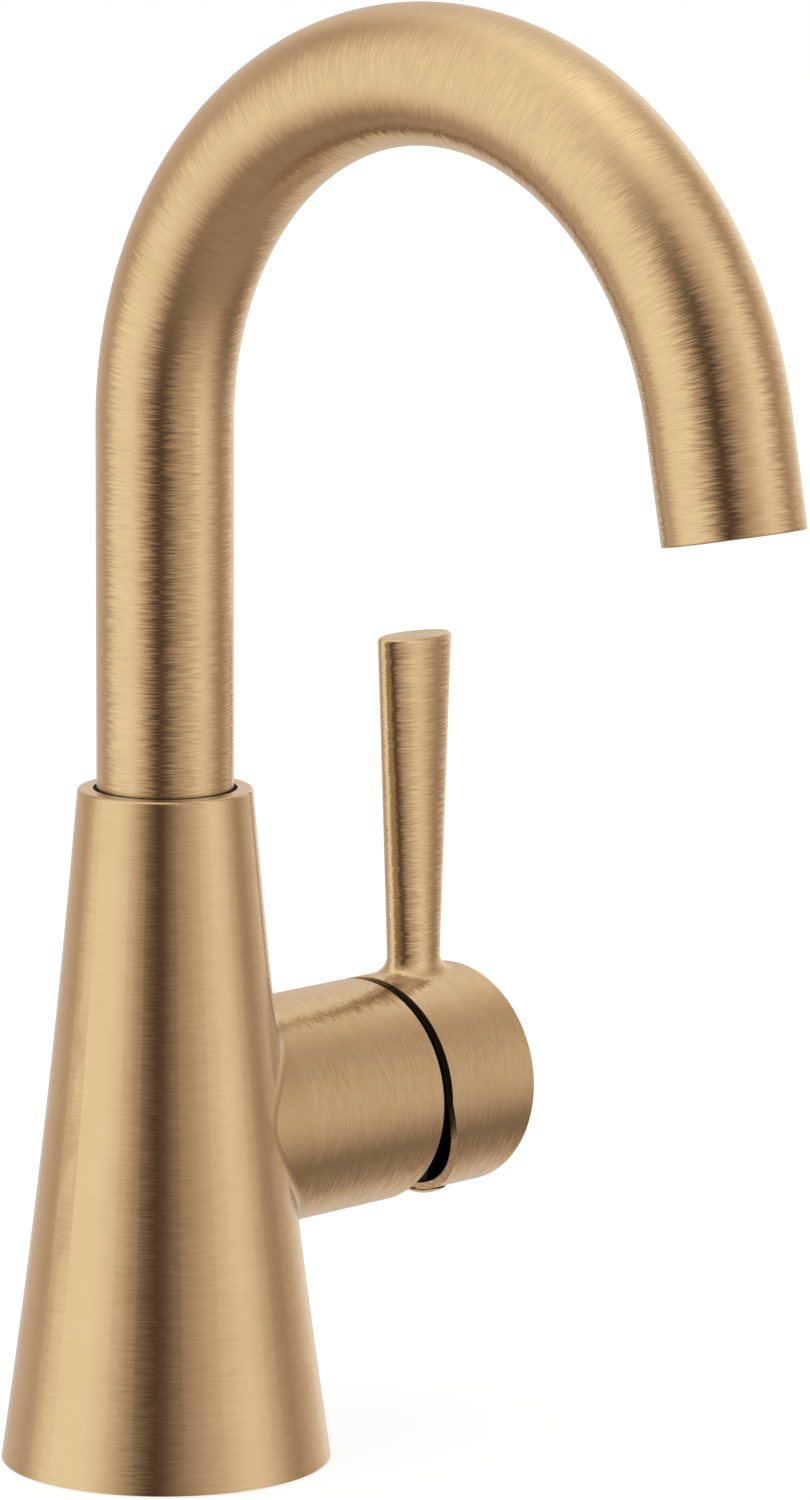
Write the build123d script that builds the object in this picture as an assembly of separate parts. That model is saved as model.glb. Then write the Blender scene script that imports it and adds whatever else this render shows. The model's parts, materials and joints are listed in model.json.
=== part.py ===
from build123d import *
import math
import os

os.makedirs("parts", exist_ok=True)

# A single-handle basin tap with a high arched spout. All sizes are in mm.
# The deck is the plane z = 0, the spout points to -Y and the handle hub points to +X.

# Clearances
fixed_gap = 0.05  # pieces that are fastened together
running_gap = 0.05  # a journal in its bearing, or one ceramic face on the other
moving_gap = 0.3  # pieces that pass each other

# Spout tube
tube_radius = 12.7
tube_wall = 1.2
post_length = 69.2  # straight tube from its lower end to the arch
arch_radius = 67.85  # of the tube's centre line
arch_sweep = 169.2
tail_length = 20.65
tube_end_round = 0.7
outlet_end_round = 0.3

# Casing
body_height = 127.1
base_radius = 30.8
shadow_gap = 0.3  # the casing's lower edge above the deck
rim_width = 2.85
rim_round = 0.6
rim_bore_round = 0.8
side_hollow = 0.97  # how far the side's arc bows inwards from a straight taper
body_wall = 3.0
base_plate = 11.0
core_height = 80.0  # top of the hollow inside the casing

# Hub on the casing's side
hub_height = 61.9
hub_reach = 53.2
hub_wall = 2.42
hub_blend = 4.0
edge_round = 0.3

# Spout foot and its bearings in the casing's neck
tube_margin = 0.7  # open gap round the tube at the rim
tube_sink = 1.2  # the tube's lower end below the rim
foot_step = 0.8
foot_length = 33.0
foot_wall = 3.4
foot_spigot = 11.0
neck_gap = 0.4
bearing_ring_height = 2.8
glide_ring_height = 3.0
glide_ring_lift = 1.0  # above the foot's lower end
glide_ring_depth = 1.5
o_ring_section = 2.05
o_ring_heights = (8.0, 14.0)  # above the foot's lower end
swivel_limit = 60.0
stop_drop = 11.0  # the stop screw below the tube's lower end
stop_screw_radius = 2.5
stop_tip_radius = 1.7
stop_slot_depth = 1.5
stop_socket_flats = 2.5

# Outlet end of the spout
insert_recess = 1.0
insert_wall = 1.2
insert_length = 11.0
insert_shoulder = 1.5
insert_lip = 1.6
aerator_recess = 0.3  # behind the insert's outer face
aerator_wall = 1.3
aerator_lip = 0.8
aerator_length = 8.4
straightener_height = 3.0
screen_height = 0.6
washer_section = 2.5
cell_rings = 3
cell_pitch = 2.5
cell_radius = 1.0
cell_margin = 0.4
mesh_pitch = 2.3
mesh_radius = 0.85
key_slot_width = 1.6
key_slot_depth = 0.6

# Mixing cartridge, stacked inwards from the nut that holds it in the hub
seat_back = 9.0  # the solid behind the upright passages, from the casing's axis
cartridge_radius = 17.5
housing_wall = 1.5
seal_stand = 0.3
base_flange = 2.7
base_spigot = 4.0
disc_recess = 1.0
fixed_disc_radius = 14.0
fixed_disc_height = 3.5
moving_disc_radius = 12.5
moving_disc_height = 3.5
mixing_pocket_radius = 6.2
mixing_pocket_depth = 1.5
port_circle = 9.2
port_angle = 50.0  # each inlet port from the top of the port circle
inlet_port_radius = 2.6
outlet_port_radius = 3.2
riser_step = 0.3  # the upright passages are this much narrower than the ports they meet
seal_inner_margin = 0.2
seal_width = 1.0
seal_height = 1.6
peg_radius = 1.8
peg_length = 4.0
peg_side = 11.5
peg_drop = 6.0
carrier_height = 5.0
carrier_peg_radius = 1.2
carrier_peg_length = 1.5
carrier_peg_side = 9.4
ball_radius = 2.2
ball_reach = 7.0  # from the pivot to the ball on the stem's inner end
ball_neck_radius = 1.4
rotor_plate = 5.3
rotor_neck_radius = 9.3
rotor_neck_length = 7.35
rotor_slot_low = 7.6
rotor_slot_high = 6.9
pivot_lift = 5.0  # the pivot above the disc carrier
pivot_pin_radius = 1.5
pivot_pin_length = 17.0
housing_end = 3.0
turn_limit = 45.0
turn_lug_width = 3.0
turn_lug_reach = 2.2
turn_lug_height = 2.2
turn_stop_step = 0.9  # between the rotor's neck and the stop
turn_stop_width = 1.8
stem_width = 7.0
stem_inner_end = 3.5  # the stem's square part inwards from the pivot
lift_limit = 23.0

# Bonnet nut and trim dome
nut_thread_step = 1.4
nut_recess = 4.25  # the nut's shoulder behind the hub's mouth
nut_height = 10.0
nut_bore_radius = 13.2
nut_spigot_radius = 17.2
nut_spigot_height = 2.45
nut_slot_width = 3.0
nut_slot_cuts = 2  # each makes two slots, one opposite the other
dome_radius = 25.5
dome_wall = 1.4
dome_opening_radius = 14.8
dome_skirt_gap = 0.2

# Handle
cap_gap = 2.3
cap_length = 23.0
cap_wall = 1.5
cap_end_wall = 4.46
cap_end_round = 0.6
relief_bottom = 10.8  # the cap's rim is cut back this far at its lowest point
relief_middle = 4.05  # and this far half way down
lever_place = 11.54  # the lever's axis from the cap's inner rim
lever_length = 64.95
lever_root_width = 11.3  # the lever is oval, wide along the hub's axis
lever_root_thickness = 8.6
lever_tip_width = 18.0
lever_tip_thickness = 9.1
lever_blend = 3.5
lever_tip_round = 0.8
boss_radius = 7.0
boss_length = 11.5
boss_socket_floor = 0.6
stem_end_gap = 0.5
rib_width = 9.0
screw_place = 14.7  # the set screw's axis from the cap's inner rim
set_screw_radius = 2.5
set_screw_length = 12.0
set_screw_flats = 2.5
socket_depth = 2.6
plug_head_radius = 4.3
plug_head_height = 1.4
plug_dome_radius = 8.0
plug_stem_length = 3.0

# Deck fixing
gasket_edge = 1.5
gasket_width = 4.5
gasket_height = 2.0
shank_radius = 16.0
shank_wall = 2.6
shank_drop = 48.0  # below the deck
shank_grip = 9.0  # inside the base plate
deck_thickness = 20.0  # the worktop that the clamp is set for
clamp_radius = 28.0
clamp_pad_height = 3.0
clamp_washer_height = 2.0
clamp_bore_gap = 0.6
nut_stand = 3.0  # between clamp washer and mounting nut
mounting_nut_height = 9.0
mounting_nut_flats = 48.0
clamp_screw_radius = 2.5
clamp_screw_circle = 21.4
clamp_screw_head_radius = 4.2
clamp_screw_head_height = 3.0
clamp_screw_spare = 4.0  # thread left under the nut
clamp_screw_slot = 1.0

# Inlets
inlet_thread_radius = 4.5
inlet_thread_length = 12.0
inlet_mouth_height = 22.0
nipple_flats = 13.0
nipple_floor = 2.0  # above the thread
nipple_spigot_radius = 4.0
nipple_spigot_length = 8.0
nipple_seat_wall = 3.45

# Heights and radii that follow
rim_bore_radius = tube_radius + tube_margin
rim_radius = rim_bore_radius + rim_width
tube_bottom = body_height - tube_sink
tube_bore_radius = tube_radius - tube_wall
spring_height = tube_bottom + post_length
foot_radius = tube_radius - foot_step
foot_bottom = tube_bottom - foot_length
foot_bore_radius = foot_radius - foot_wall
neck_radius = foot_radius + neck_gap
neck_floor = foot_bottom - moving_gap
recess_floor = tube_bottom - moving_gap - bearing_ring_height
stop_height = tube_bottom - stop_drop
stop_floor_radius = foot_radius - stop_slot_depth
base_bottom = shadow_gap
plate_top = base_bottom + base_plate
nipple_high = inlet_mouth_height + inlet_thread_length + nipple_floor
nipple_seat_radius = nipple_spigot_radius + fixed_gap
riser_radius = inlet_port_radius - riser_step

nut_radius = cartridge_radius + nut_thread_step
hub_bore_radius = cartridge_radius + fixed_gap
hub_mouth_radius = nut_radius + fixed_gap
hub_radius = hub_mouth_radius + hub_wall

nut_high = hub_reach - nut_recess
housing_high = nut_high - nut_height
housing_end_low = housing_high - housing_end
rotor_plate_high = housing_end_low - moving_gap
rotor_low = rotor_plate_high - rotor_plate
rotor_high = rotor_plate_high + rotor_neck_length
carrier_high = rotor_low - moving_gap
moving_disc_high = carrier_high - carrier_height
moving_disc_low = moving_disc_high - moving_disc_height
fixed_disc_high = moving_disc_low - running_gap
fixed_disc_low = fixed_disc_high - fixed_disc_height
spigot_high = fixed_disc_low + disc_recess
flange_high = spigot_high - base_spigot
flange_low = flange_high - base_flange
seat_depth = flange_low - seal_stand
housing_bore_radius = cartridge_radius - housing_wall
pivot_depth = carrier_high + pivot_lift
port_across = port_circle * math.sin(math.radians(port_angle))
port_up = port_circle * math.cos(math.radians(port_angle))
passage_height = hub_height + port_up

cap_low = hub_reach + cap_gap
cap_high = cap_low + cap_length
cap_floor = cap_high - cap_end_wall
cap_bore_radius = hub_radius - cap_wall
lever_axis = cap_low + lever_place
lever_root_height = hub_height + hub_radius
lever_top = lever_root_height + lever_length
boss_low = cap_floor - boss_length
stem_end = cap_floor - boss_socket_floor - stem_end_gap
screw_axis = cap_low + screw_place

gasket_outer = base_radius - gasket_edge
gasket_inner = gasket_outer - gasket_width
pad_low = -deck_thickness - clamp_pad_height
washer_low = pad_low - clamp_washer_height
mounting_nut_high = washer_low - nut_stand
mounting_nut_low = mounting_nut_high - mounting_nut_height
clamp_bore_radius = shank_radius + clamp_bore_gap

# Frames: on the hub's frame x is the row's Y, y is the row's Z and z is the row's X
upright = Plane.XY
hub_frame = Plane(origin=(0, 0, hub_height), x_dir=(0, 1, 0), z_dir=(1, 0, 0))
pivot_frame = Plane(origin=(pivot_depth, 0, hub_height), x_dir=(1, 0, 0), z_dir=(0, 1, 0))
stop_frame = Plane(origin=(0, 0, stop_height), x_dir=(1, 0, 0), z_dir=(0, 1, 0))
screw_frame = Plane(origin=(screw_axis, 0, hub_height), x_dir=(1, 0, 0), z_dir=(0, 0, -1))
sweep_angle = math.radians(arch_sweep)
arch_end = (
    0,
    -arch_radius * (1 - math.cos(sweep_angle)),
    spring_height + arch_radius * math.sin(sweep_angle),
)
flow = (0, -math.sin(sweep_angle), math.cos(sweep_angle))
outlet_centre = tuple(place + tail_length * step for place, step in zip(arch_end, flow))
outlet_frame = Plane(origin=outlet_centre, x_dir=(1, 0, 0), z_dir=tuple(-step for step in flow))
inlet_places = [(0, -port_across), (0, port_across)]
port_places = [(-port_across, port_up), (port_across, port_up)]
peg_places = [(-peg_side, -peg_drop), (peg_side, -peg_drop)]


def rod(frame, radius, low, high, centre=(0, 0)):
    # A round bar along a frame's z axis, between two heights.
    bar = Cylinder(radius, high - low, align=(Align.CENTER, Align.CENTER, Align.MIN))
    return frame * (Pos(centre[0], centre[1], low) * bar)


def ring(frame, outer, inner, low, high, centre=(0, 0)):
    # A plain ring along a frame's z axis.
    return rod(frame, outer, low, high, centre) - rod(frame, inner, low, high, centre)


def block(frame, width, depth, low, high, centre=(0, 0)):
    # A square bar along a frame's z axis.
    bar = Box(width, depth, high - low, align=(Align.CENTER, Align.CENTER, Align.MIN))
    return frame * (Pos(centre[0], centre[1], low) * bar)


def ring_part(frame, outer, inner, low, high, middle, spread):
    # The part of a ring that reaches spread degrees to both sides of the direction middle.
    section = Pos((outer + inner) / 2, (low + high) / 2) * Rectangle(outer - inner, high - low)
    turned = revolve(Plane.XZ * section, Axis.Z, revolution_arc=2 * spread)
    return frame * (Rot(0, 0, middle - spread) * turned)


def hexagon_bar(frame, flats, low, high, centre=(0, 0)):
    # A hexagon bar along a frame's z axis.
    outline = RegularPolygon(flats / 2, 6, major_radius=False)
    return frame * (Pos(centre[0], centre[1], low) * extrude(outline, high - low))


def hexagon_cells(rings, pitch):
    # Centres of round cells in a honeycomb, rings deep round the middle one.
    places = []
    for row in range(-rings, rings + 1):
        for column in range(-rings, rings + 1):
            if abs(row + column) <= rings:
                places.append((pitch * (column + row / 2), pitch * row * math.sqrt(3) / 2))
    return places


def casing_outline(inset):
    # The casing's turned solid, with its side drawn in by inset.
    foot = (base_radius - inset, base_bottom)
    top = (rim_radius - inset, body_height)
    run, rise = top[0] - foot[0], top[1] - foot[1]
    length = math.hypot(run, rise)
    middle = (
        (foot[0] + top[0]) / 2 - side_hollow * rise / length,
        (foot[1] + top[1]) / 2 + side_hollow * run / length,
    )
    outline = Curve() + [
        Line((0, foot[1]), foot),
        ThreePointArc(foot, middle, top),
        Line(top, (0, top[1])),
        Line((0, top[1]), (0, foot[1])),
    ]
    # The seam lies on the side away from the hub, so that it stays out of the hub's blend.
    return Rot(0, 0, 180) * revolve(Plane.XZ * make_face(outline), Axis.Z)


def body_casting():
    casing = casing_outline(0)
    hub = rod(hub_frame, hub_radius, 0, hub_reach)
    outer = casing + hub
    outer = fillet(new_edges(casing, hub, combined=outer), hub_blend)
    rim = outer.edges().filter_by(GeomType.CIRCLE).sort_by(Axis.Z)[-1]
    outer = fillet(rim, rim_round)
    hub_edge = outer.edges().filter_by(GeomType.CIRCLE).sort_by(Axis.X)[-1]
    outer = fillet(hub_edge, edge_round)

    core = casing_outline(body_wall) & rod(upright, base_radius, plate_top, core_height)
    core -= rod(hub_frame, hub_radius, -seat_back, hub_reach)
    boss_radius = nipple_seat_radius + nipple_seat_wall
    core -= [rod(upright, boss_radius, nipple_high, passage_height, place) for place in inlet_places]
    body = outer - core

    body -= rod(hub_frame, hub_bore_radius, seat_depth, housing_high)
    body -= rod(hub_frame, hub_mouth_radius, housing_high - moving_gap, hub_reach)
    nipple_seat_high = nipple_high + nipple_spigot_length + moving_gap
    for place, port in zip(inlet_places, port_places):
        body -= rod(upright, nipple_seat_radius, nipple_high, nipple_seat_high, place)
        body -= rod(upright, riser_radius, nipple_high, passage_height, place)
        body -= rod(hub_frame, inlet_port_radius, -inlet_port_radius, seat_depth, port)
    peg_floor = flange_low - peg_length - moving_gap
    body -= [rod(hub_frame, peg_radius + fixed_gap, peg_floor, seat_depth, place) for place in peg_places]
    body -= rod(hub_frame, outlet_port_radius, -outlet_port_radius, seat_depth)
    body -= rod(upright, outlet_port_radius - riser_step, hub_height, neck_floor)

    body -= rod(upright, neck_radius, neck_floor, recess_floor)
    body -= rod(upright, rim_bore_radius, recess_floor, body_height)
    rim_edges = body.edges().filter_by(GeomType.CIRCLE).sort_by(Axis.Z)[-2:]
    body = fillet(rim_edges.sort_by(SortBy.RADIUS)[0], rim_bore_round)
    body -= rod(stop_frame, stop_screw_radius, foot_radius, base_radius)

    body -= rod(upright, shank_radius + fixed_gap, base_bottom, plate_top)
    body -= ring(upright, gasket_outer + fixed_gap, gasket_inner - fixed_gap, base_bottom, gasket_height)
    return body


def inlet_nipples():
    nipples = []
    for place in inlet_places:
        nipple = hexagon_bar(upright, nipple_flats, inlet_mouth_height, nipple_high, place)
        nipple += rod(upright, nipple_spigot_radius, nipple_high, nipple_high + nipple_spigot_length, place)
        nipple -= rod(upright, riser_radius, inlet_mouth_height, nipple_high + nipple_spigot_length, place)
        thread_high = inlet_mouth_height + inlet_thread_length
        nipples.append(nipple - rod(upright, inlet_thread_radius, inlet_mouth_height, thread_high, place))
    return nipples


def deck_gasket():
    return ring(upright, gasket_outer, gasket_inner, 0, gasket_height)


def spout_run(radius):
    # A round bar along the spout's centre line.
    post = Line((0, 0, tube_bottom), (0, 0, spring_height))
    half = sweep_angle / 2
    crown = (0, -arch_radius * (1 - math.cos(half)), spring_height + arch_radius * math.sin(half))
    arch = ThreePointArc((0, 0, spring_height), crown, arch_end)
    tail = Line(arch_end, outlet_centre)
    section = Plane(origin=(0, 0, tube_bottom), z_dir=(0, 0, 1)) * Circle(radius)
    return sweep(section, path=Curve() + [post, arch, tail])


def spout_tube():
    bar = spout_run(tube_radius)
    bar = fillet(bar.edges().filter_by(GeomType.CIRCLE).sort_by(Axis.Z)[0], tube_end_round)
    bar = fillet(bar.edges().filter_by(GeomType.CIRCLE).sort_by(Axis.Y)[0], outlet_end_round)
    return bar - spout_run(tube_bore_radius)


def spout_foot():
    foot = rod(upright, foot_radius, foot_bottom, tube_bottom)
    foot += rod(upright, tube_bore_radius - fixed_gap, tube_bottom, tube_bottom + foot_spigot)
    foot -= rod(upright, foot_bore_radius, foot_bottom, tube_bottom + foot_spigot)
    glide_low = foot_bottom + glide_ring_lift
    glide_floor = neck_radius - running_gap - glide_ring_depth
    grooves = [(glide_floor, glide_low, glide_ring_height)]
    for height in o_ring_heights:
        low = foot_bottom + height - o_ring_section / 2
        grooves.append((neck_radius - running_gap - o_ring_section, low, o_ring_section))
    for floor, low, width in grooves:
        foot -= ring(upright, foot_radius, floor - fixed_gap, low - fixed_gap, low + width + fixed_gap)
    slot_half = stop_tip_radius + moving_gap
    slot_spread = swivel_limit + math.degrees(math.asin(slot_half / stop_floor_radius))
    slot_low = stop_height - slot_half
    slot_high = stop_height + slot_half
    return foot - ring_part(upright, tube_radius, stop_floor_radius, slot_low, slot_high, 90, slot_spread)


def bearing_ring():
    high = recess_floor + bearing_ring_height
    return ring(upright, rim_bore_radius - fixed_gap, foot_radius + running_gap, recess_floor, high)


def lower_glide_ring():
    outer = neck_radius - running_gap
    low = foot_bottom + glide_ring_lift
    return ring(upright, outer, outer - glide_ring_depth, low, low + glide_ring_height)


def spout_o_rings():
    section = o_ring_section / 2
    middle = neck_radius - running_gap - section
    return [Pos(0, 0, foot_bottom + height) * Torus(middle, section) for height in o_ring_heights]


def spout_stop_screw():
    tip_end = stop_floor_radius + moving_gap
    thread_end = neck_radius + moving_gap
    screw = rod(stop_frame, stop_tip_radius, tip_end, thread_end)
    screw += rod(stop_frame, stop_screw_radius - fixed_gap, thread_end, rim_radius)
    return screw - hexagon_bar(stop_frame, stop_socket_flats, rim_radius - socket_depth, rim_radius)


def outlet_insert():
    outer = tube_bore_radius - fixed_gap
    thread = outer - insert_wall
    low = insert_recess
    high = low + insert_length
    insert = ring(outlet_frame, outer, thread, low, high)
    return insert + ring(outlet_frame, outer, thread - insert_lip, high, high + insert_shoulder)


def aerator_radius():
    return tube_bore_radius - 2 * fixed_gap - insert_wall


def aerator_low():
    return insert_recess + aerator_recess


def aerator_housing():
    outer = aerator_radius()
    low = aerator_low()
    inner = outer - aerator_wall
    housing = ring(outlet_frame, outer, inner, low, low + aerator_length)
    housing += ring(outlet_frame, outer, inner - aerator_lip, low, low + aerator_lip)
    for angle in (0, 90):
        turned = Plane(outlet_frame.location * Rot(0, 0, angle))
        housing -= block(turned, 2 * outer, key_slot_width, low, low + key_slot_depth)
    return housing


def flow_straightener():
    radius = aerator_radius() - aerator_wall - fixed_gap
    low = aerator_low() + aerator_lip
    plate = rod(outlet_frame, radius, low, low + straightener_height)
    cells = [
        rod(outlet_frame, cell_radius, low, low + straightener_height, place)
        for place in hexagon_cells(cell_rings, cell_pitch)
        if math.hypot(*place) + cell_radius < radius - cell_margin
    ]
    return plate - cells


def aerator_screen():
    radius = aerator_radius() - fixed_gap
    low = aerator_low() + aerator_length
    plate = rod(outlet_frame, radius, low, low + screen_height)
    cells = [
        rod(outlet_frame, mesh_radius, low, low + screen_height, place)
        for place in hexagon_cells(cell_rings, mesh_pitch)
        if math.hypot(*place) + mesh_radius < radius - washer_section
    ]
    return plate - cells


def aerator_washer():
    outer = aerator_radius() - fixed_gap
    low = aerator_low() + aerator_length + screen_height
    return ring(outlet_frame, outer, outer - washer_section, low, insert_recess + insert_length)


def cartridge_base():
    base = rod(hub_frame, cartridge_radius, flange_low, flange_high)
    base += rod(hub_frame, housing_bore_radius - fixed_gap, flange_high, spigot_high)
    base -= rod(hub_frame, fixed_disc_radius + fixed_gap, fixed_disc_low, spigot_high)
    for place in peg_places:
        base += rod(hub_frame, peg_radius, flange_low - peg_length, flange_low, place)
    for place, radius in port_list():
        base -= rod(hub_frame, radius, flange_low, fixed_disc_low, place)
        inner = radius + seal_inner_margin - fixed_gap
        outer = inner + seal_width + 2 * fixed_gap
        base -= ring(hub_frame, outer, inner, flange_low, seat_depth + seal_height, place)
    return base


def port_list():
    # Each port's place and radius: two inlets and the outlet in the middle.
    ports = [(place, inlet_port_radius) for place in port_places]
    return ports + [((0, 0), outlet_port_radius)]


def cartridge_seals():
    seals = []
    for place, radius in port_list():
        inner = radius + seal_inner_margin
        high = seat_depth + seal_height
        seals.append(ring(hub_frame, inner + seal_width, inner, seat_depth, high, place))
    return seals


def fixed_disc():
    disc = rod(hub_frame, fixed_disc_radius, fixed_disc_low, fixed_disc_high)
    for place, radius in port_list():
        disc -= rod(hub_frame, radius, fixed_disc_low, fixed_disc_high, place)
    return disc


def carrier_peg_places():
    return [(-carrier_peg_side, 0), (carrier_peg_side, 0)]


def moving_disc():
    disc = rod(hub_frame, moving_disc_radius, moving_disc_low, moving_disc_high)
    disc -= rod(hub_frame, mixing_pocket_radius, moving_disc_low, moving_disc_low + mixing_pocket_depth)
    for place in carrier_peg_places():
        floor = moving_disc_high - carrier_peg_length - fixed_gap
        disc -= rod(hub_frame, carrier_peg_radius + fixed_gap, floor, moving_disc_high, place)
    return disc


def disc_carrier():
    carrier = rod(hub_frame, moving_disc_radius, moving_disc_high, carrier_high)
    peg_end = moving_disc_high - carrier_peg_length
    for place in carrier_peg_places():
        carrier += rod(hub_frame, carrier_peg_radius, peg_end, moving_disc_high, place)
    socket = 2 * (ball_radius + moving_gap + running_gap)
    socket_floor = pivot_depth - ball_reach - ball_radius - moving_gap
    return carrier - block(hub_frame, socket, socket, socket_floor, carrier_high)


def cartridge_housing():
    housing = ring(hub_frame, cartridge_radius, housing_bore_radius, flange_high, housing_high)
    opening = rotor_neck_radius + moving_gap
    housing += ring(hub_frame, cartridge_radius, opening, housing_end_low, housing_high)
    lug_spread = math.degrees(math.asin((turn_lug_width / 2 + moving_gap) / rotor_neck_radius))
    window = turn_limit + lug_spread
    inner = rotor_neck_radius + turn_stop_step
    outer = inner + turn_stop_width
    stop_high = housing_high + turn_lug_height
    return housing + ring_part(hub_frame, outer, inner, housing_high, stop_high, -90, 180 - window)


def cartridge_rotor():
    rotor = rod(hub_frame, housing_bore_radius - moving_gap, rotor_low, rotor_plate_high)
    rotor += rod(hub_frame, rotor_neck_radius, rotor_plate_high, rotor_high)
    lug_low = housing_high + moving_gap
    lug_high = lug_low + turn_lug_height
    lug_end = rotor_neck_radius + turn_lug_reach
    rotor += block(hub_frame, turn_lug_width, lug_end, lug_low, lug_high, (0, lug_end / 2))
    slot_width = stem_width + 2 * moving_gap
    slot_length = rotor_slot_low + rotor_slot_high
    slot_middle = (rotor_slot_high - rotor_slot_low) / 2
    rotor -= block(hub_frame, slot_width, slot_length, rotor_low, rotor_high, (0, slot_middle))
    reach = pivot_pin_length / 2 + moving_gap
    return rotor - rod(pivot_frame, pivot_pin_radius + fixed_gap / 2, -reach, reach)


def pivot_pin():
    return rod(pivot_frame, pivot_pin_radius, -pivot_pin_length / 2, pivot_pin_length / 2)


def cartridge_stem():
    ball_depth = pivot_depth - ball_reach
    square_low = pivot_depth - stem_inner_end
    stem = block(hub_frame, stem_width, stem_width, square_low, stem_end)
    stem += rod(hub_frame, ball_neck_radius, ball_depth, square_low)
    stem += hub_frame * (Pos(0, 0, ball_depth) * Sphere(ball_radius))
    return stem - rod(pivot_frame, pivot_pin_radius + running_gap, -stem_width, stem_width)


def bonnet_nut():
    spigot_end = nut_high + nut_spigot_height
    nut = ring(hub_frame, nut_radius, nut_bore_radius, housing_high, nut_high)
    nut += ring(hub_frame, nut_spigot_radius, nut_bore_radius, nut_high, spigot_end)
    for number in range(nut_slot_cuts):
        turned = Plane(hub_frame.location * Rot(0, 0, 180 * number / nut_slot_cuts))
        nut -= block(turned, 2 * nut_radius, nut_slot_width, nut_high, spigot_end)
    return nut


def trim_dome():
    skirt_outer = hub_mouth_radius - dome_skirt_gap
    skirt = ring(hub_frame, skirt_outer, nut_spigot_radius + fixed_gap, nut_high, hub_reach)
    shell = Sphere(dome_radius) - Sphere(dome_radius - dome_wall)
    shell = hub_frame * (Pos(0, 0, pivot_depth) * shell)
    crown = pivot_depth + dome_radius
    shell_low = nut_high + nut_spigot_height + fixed_gap
    return skirt + (shell & ring(hub_frame, skirt_outer, dome_opening_radius, shell_low, crown))


def rim_relief():
    # The hollow that keeps the cap's lower rim off the hub as the lever is pulled out.
    bottom = hub_height - hub_radius
    start = (cap_low, hub_height)
    middle = (cap_low + relief_middle, hub_height - hub_radius / 2)
    end = (cap_low + relief_bottom, bottom)
    slope = (end[0] - middle[0]) / (middle[1] - end[1])
    below = (end[0] + slope * cap_wall, bottom - cap_wall)
    outline = Curve() + [
        ThreePointArc(start, middle, end),
        Line(end, below),
        Line(below, (hub_reach, below[1])),
        Line((hub_reach, below[1]), (hub_reach, hub_height)),
        Line((hub_reach, hub_height), start),
    ]
    return extrude(Plane.XZ * make_face(outline), hub_radius, both=True)


def lever():
    sunk = hub_radius - cap_bore_radius - moving_gap
    share = -sunk / lever_length
    low_width = lever_root_width + (lever_tip_width - lever_root_width) * share
    low_thickness = lever_root_thickness + (lever_tip_thickness - lever_root_thickness) * share
    low = Pos(lever_axis, 0, lever_root_height - sunk) * Ellipse(low_width / 2, low_thickness / 2)
    top = Pos(lever_axis, 0, lever_top) * Ellipse(lever_tip_width / 2, lever_tip_thickness / 2)
    return loft([low, top], ruled=True)


def handle():
    shell = rod(hub_frame, hub_radius, cap_low, cap_high)
    shell = fillet(shell.edges().filter_by(GeomType.CIRCLE).sort_by(Axis.X)[-1], cap_end_round)
    arm = lever()
    outer = shell + arm
    outer = fillet(new_edges(shell, arm, combined=outer), lever_blend)
    outer = fillet(outer.edges().sort_by(Axis.Z)[-1], lever_tip_round)

    hollow = rod(hub_frame, cap_bore_radius, cap_low, cap_floor)
    hollow -= rod(hub_frame, boss_radius, boss_low, cap_floor)
    rib_reach = cap_floor - screw_axis
    hollow -= block(screw_frame, 2 * rib_reach, rib_width, 0, hub_radius)
    cap = outer - hollow - rim_relief()

    socket = stem_width + 2 * fixed_gap
    cap -= block(hub_frame, socket, socket, cap_low, cap_floor - boss_socket_floor)
    return cap - rod(screw_frame, set_screw_radius, stem_width / 2, hub_radius)


def set_screw():
    low = stem_width / 2 + fixed_gap
    high = low + set_screw_length
    screw = rod(screw_frame, set_screw_radius - fixed_gap, low, high)
    return screw - hexagon_bar(screw_frame, set_screw_flats, high - socket_depth, high)


def set_screw_plug():
    back = hub_radius + fixed_gap
    front = back + plug_head_height
    head = rod(screw_frame, plug_head_radius, back, front)
    head &= screw_frame * (Pos(0, 0, front - plug_dome_radius) * Sphere(plug_dome_radius))
    return head + rod(screw_frame, set_screw_radius - fixed_gap, back - plug_stem_length, back)


def mounting_shank():
    return ring(upright, shank_radius, shank_radius - shank_wall, -shank_drop, base_bottom + shank_grip)


def clamp_pad():
    return ring(upright, clamp_radius, clamp_bore_radius, pad_low, -deck_thickness)


def clamp_washer():
    return ring(upright, clamp_radius, clamp_bore_radius, washer_low, pad_low)


def clamp_screw_places():
    return [(clamp_screw_circle, 0), (-clamp_screw_circle, 0)]


def mounting_nut():
    nut = hexagon_bar(upright, mounting_nut_flats, mounting_nut_low, mounting_nut_high)
    nut -= rod(upright, shank_radius + fixed_gap, mounting_nut_low, mounting_nut_high)
    for place in clamp_screw_places():
        nut -= rod(upright, clamp_screw_radius, mounting_nut_low, mounting_nut_high, place)
    return nut


def clamp_screws():
    screws = []
    for place in clamp_screw_places():
        head_high = mounting_nut_low - clamp_screw_spare
        head_low = head_high - clamp_screw_head_height
        screw = rod(upright, clamp_screw_radius - fixed_gap, head_high, washer_low, place)
        screw += rod(upright, clamp_screw_head_radius, head_low, head_high, place)
        slot_high = head_low + clamp_screw_slot
        slot = block(upright, 2 * clamp_screw_head_radius, clamp_screw_slot, head_low, slot_high, place)
        screws.append(screw - slot)
    return screws


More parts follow.
